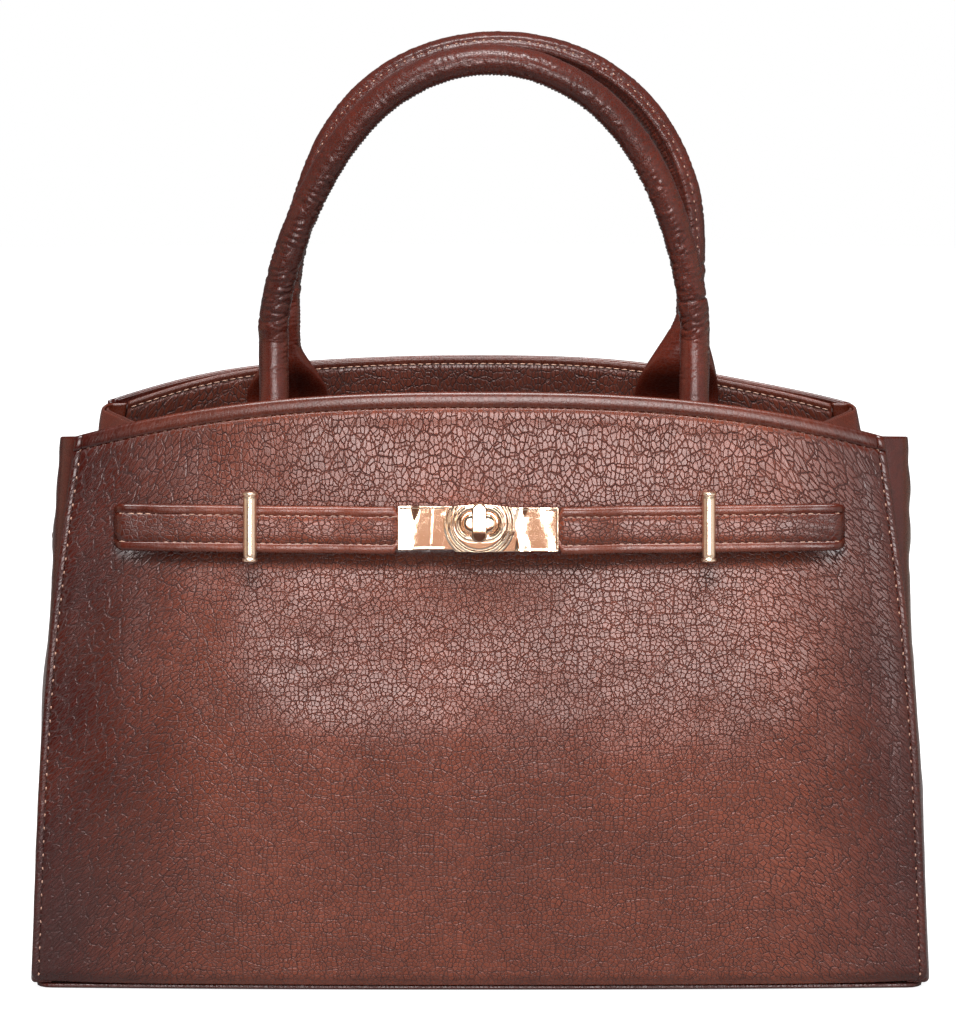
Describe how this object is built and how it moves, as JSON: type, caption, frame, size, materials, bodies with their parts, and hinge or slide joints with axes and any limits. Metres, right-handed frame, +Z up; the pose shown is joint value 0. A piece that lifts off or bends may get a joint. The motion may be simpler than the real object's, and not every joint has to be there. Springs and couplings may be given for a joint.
{
  "type": "tote bag",
  "caption": "Structured leather tote bag with rolled top handles, folded side gussets and a belt strap that closes on a metal turn lock.",
  "frame": {"origin": "on the floor, under the middle of the base", "axes": "+X to the right seen from the front, +Y to the back, +Z up; the front with the lock faces -Y"},
  "size_m": [0.3426, 0.1537, 0.3554],
  "materials": {
    "grained_leather": "pebbled, semi-gloss",
    "smooth_leather": "wrinkled at the bends, semi-gloss",
    "lining_fabric": "plain weave, matte",
    "stiffener_board": "matte",
    "handle_rope": "twisted cord, matte",
    "pale_gold_plate": "polished, pale gold plated",
    "backing_steel": "brushed"
  },
  "bodies": {
    "root": {"front_panel": "grained_leather", "back_panel": "grained_leather", "left_gusset": "grained_leather", "right_gusset": "grained_leather", "front_facing": "grained_leather", "back_facing": "grained_leather", "left_strap": "grained_leather", "right_strap": "grained_leather", "base_panel": "smooth_leather", "left_facing": "smooth_leather", "right_facing": "smooth_leather", "front_left_tab": "smooth_leather", "front_right_tab": "smooth_leather", "back_left_tab": "smooth_leather", "back_right_tab": "smooth_leather", "left_ring_tab": "smooth_leather", "right_ring_tab": "smooth_leather", "lining": "lining_fabric", "base_board": "stiffener_board", "left_lock_plate": "pale_gold_plate", "right_lock_plate": "pale_gold_plate", "lock_base": "pale_gold_plate", "left_bar_loop": "pale_gold_plate", "right_bar_loop": "pale_gold_plate", "lock_backing": "backing_steel", "left_bar_backing": "backing_steel", "right_bar_backing": "backing_steel"},
    "front_handle": {"front_handle_cover": "smooth_leather", "front_handle_core": "handle_rope"},
    "back_handle": {"back_handle_cover": "smooth_leather", "back_handle_core": "handle_rope"},
    "turn_knob": {"turn_knob": "pale_gold_plate"},
    "left_ring": {"left_ring": "pale_gold_plate"},
    "right_ring": {"right_ring": "pale_gold_plate"}
  },
  "joints": [
    {"name": "front_handle_swing", "type": "hinge", "parent": "root", "child": "front_handle", "pos_m": [0, -0.052, 0.246], "axis": [1, 0, 0], "range_deg": [-20, 80]},
    {"name": "back_handle_swing", "type": "hinge", "parent": "root", "child": "back_handle", "pos_m": [0, 0.052, 0.246], "axis": [-1, 0, 0], "range_deg": [-12, 88]},
    {"name": "turn_knob_turn", "type": "hinge", "parent": "root", "child": "turn_knob", "pos_m": [0, -0.06982, 0.1784], "axis": [0, -0.9985, 0.0543], "range_deg": [0, 90]},
    {"name": "left_ring_swing", "type": "hinge", "parent": "root", "child": "left_ring", "pos_m": [-0.16387, 0, 0.164], "axis": [0, 1, 0], "range_deg": [0, 150]},
    {"name": "right_ring_swing", "type": "hinge", "parent": "root", "child": "right_ring", "pos_m": [0.16387, 0, 0.164], "axis": [0, -1, 0], "range_deg": [0, 150]}
  ]
}
